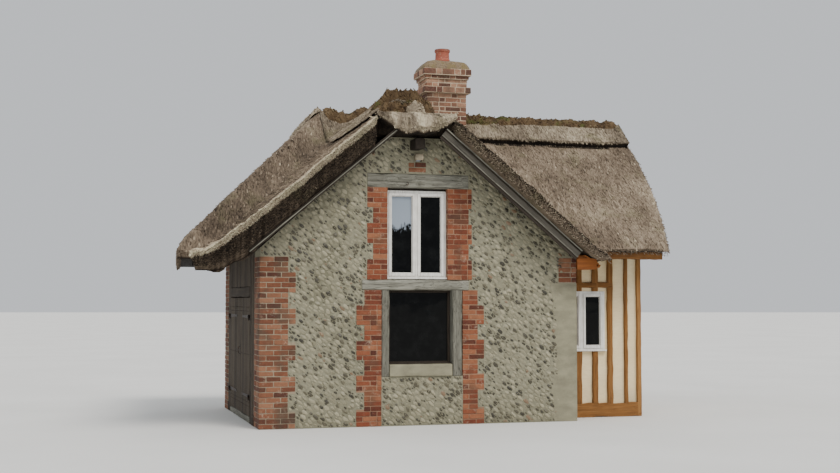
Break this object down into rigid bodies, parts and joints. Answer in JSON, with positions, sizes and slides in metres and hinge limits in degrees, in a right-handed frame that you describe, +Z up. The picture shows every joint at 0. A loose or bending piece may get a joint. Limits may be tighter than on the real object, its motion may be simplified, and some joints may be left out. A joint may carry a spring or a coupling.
{
  "type": "thatched cottage",
  "caption": "Small thatched cottage: flint front gable with brick dressings, half-timbered wing, hinged plank doors and a brick chimney.",
  "frame": {"origin": "middle of the underside of the ground floor", "axes": "+X along the front, to the right; +Y from the front gable to the back; +Z up"},
  "size_m": [7.9015, 5.253, 6.0403],
  "materials": {
    "flint": "knapped flint in lime mortar",
    "brick": "soft orange-red brick, worn",
    "chimney_brick": "weathered brick, pale mortar",
    "clay": "terracotta",
    "grey_timber": "limed, weathered grey",
    "dark_timber": "dark stained",
    "honey_timber": "oiled oak",
    "plaster": "limewashed plaster",
    "thatch": "weathered reed",
    "thatch_roll": "straw ridge, mossy",
    "white_frame": "white satin",
    "glass": "clear, dark room behind",
    "concrete": "weathered cement",
    "boards": "old planks, iron straps",
    "lamp_metal": "dull paint"
  },
  "bodies": {
    "house": {"ground_floor": "concrete", "upper_floor": "grey_timber", "flint_gable_left": "flint", "flint_gable_right": "flint", "flint_gable_top": "flint", "flint_under_window": "flint", "brick_jamb_upper_left": "brick", "brick_jamb_upper_right": "brick", "brick_jamb_lower_left": "brick", "brick_jamb_lower_right": "brick", "brick_quoin_left": "brick", "brick_quoin_right": "brick", "upper_lintel": "grey_timber", "floor_beam": "grey_timber", "window_post_left": "grey_timber", "window_post_right": "grey_timber", "lower_window_sill": "concrete", "ridge_beam": "dark_timber", "flying_rafter_left": "grey_timber", "flying_rafter_right": "grey_timber", "gable_lamp": "lamp_metal", "upper_window_frame": "white_frame", "upper_window_glass": "glass", "lower_window_frame": "dark_timber", "lower_window_glass": "glass", "wing_window_frame": "white_frame", "wing_window_glass": "glass", "rear_window_frame": "white_frame", "rear_window_glass": "glass", "end_window_frame": "white_frame", "end_window_glass": "glass", "rear_wall_left": "flint", "rear_wall_right": "flint", "rear_wall_over_window": "flint", "rear_wall_under_window": "flint", "wing_wall": "plaster", "wing_frame": "honey_timber", "end_wall": "plaster", "end_frame": "honey_timber", "side_wall_front": "boards", "side_wall_rear": "boards", "side_wall_over_doors": "boards", "door_sill": "grey_timber", "thatch_front": "thatch", "thatch_front_left": "thatch", "thatch_left_hip": "thatch", "thatch_rear": "thatch", "thatch_gable_left": "thatch", "thatch_gable_right": "thatch", "thatch_hood": "thatch", "ridge_roll_right": "thatch_roll", "ridge_roll_left": "thatch_roll", "ridge_roll_gable": "thatch_roll", "chimney_stack": "chimney_brick", "chimney_head": "chimney_brick", "chimney_pot": "clay"},
    "front_door": {"door_leaf_front": "boards"},
    "rear_door": {"door_leaf_rear": "boards"}
  },
  "joints": [
    {"name": "front_door_hinge", "type": "hinge", "parent": "house", "child": "front_door", "pos_m": [-3.136, -1.012, 1], "axis": [0, 0, 1], "range_deg": [0, 100]},
    {"name": "rear_door_hinge", "type": "hinge", "parent": "house", "child": "rear_door", "pos_m": [-3.136, 1.212, 1], "axis": [0, 0, -1], "range_deg": [0, 100]}
  ]
}
